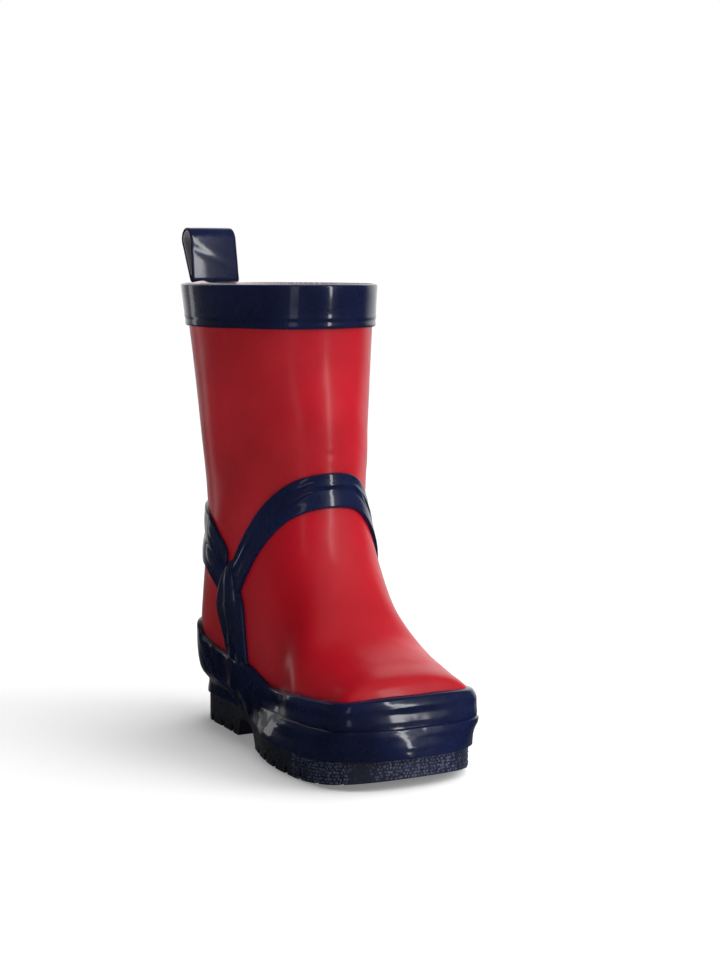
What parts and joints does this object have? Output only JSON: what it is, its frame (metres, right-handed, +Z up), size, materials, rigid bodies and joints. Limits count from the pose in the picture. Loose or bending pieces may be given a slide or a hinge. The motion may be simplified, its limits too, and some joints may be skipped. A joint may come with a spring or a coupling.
{
  "type": "rubber rain boot",
  "caption": "Child's left rubber rain boot: glossy red shaft and foot, navy top band, crossing straps, foxing, lugged sole with arch gap, and a pull loop at the back of the rim.",
  "frame": {"origin": "centre of the whole boot's footprint box, on the floor", "axes": "+Z up, toe towards -Y, heel towards +Y, -X is the inner (big toe) side"},
  "size_m": [0.0792, 0.1808, 0.2255],
  "materials": {
    "red_rubber": "glossy lacquered natural rubber",
    "navy_rubber": "glossy lacquered natural rubber",
    "navy_sole_rubber": "matt moulded rubber with a pebbled toe wall",
    "cotton_lining": "fine cotton jersey",
    "grey_cotton": "cotton tape",
    "stiffener_canvas": "rubberised canvas",
    "insole_board": "pressed fibre board",
    "filler_rubber": "cellular rubber",
    "footbed_textile": "textile-faced foam"
  },
  "bodies": {
    "boot": {"upper": "red_rubber", "back_stay": "red_rubber", "top_band": "navy_rubber", "lining": "cotton_lining", "heel_counter": "stiffener_canvas", "toe_puff": "stiffener_canvas", "insole_board": "insole_board", "midsole_filler": "filler_rubber", "outsole": "navy_sole_rubber", "foxing_band": "navy_rubber", "toe_bumper": "navy_rubber", "instep_strap": "navy_rubber", "heel_strap": "navy_rubber", "inner_side_strap": "navy_rubber", "outer_side_strap": "navy_rubber", "pull_loop_tails": "navy_rubber"},
    "pull_loop": {"pull_loop": "navy_rubber", "pull_loop_backing": "grey_cotton"},
    "footbed": {"footbed": "footbed_textile"}
  },
  "joints": [
    {"name": "pull_loop_bend", "type": "hinge", "parent": "boot", "child": "pull_loop", "pos_m": [-0.0087, 0.08085, 0.2018], "axis": [1, 0, 0], "range_deg": [-48, 80], "stiffness_Nm_per_rad": 0.005},
    {"name": "footbed_lift", "type": "hinge", "parent": "boot", "child": "footbed", "pos_m": [0, -0.08235, 0.0205], "axis": [1, 0, 0], "range_deg": [0, 12]}
  ]
}
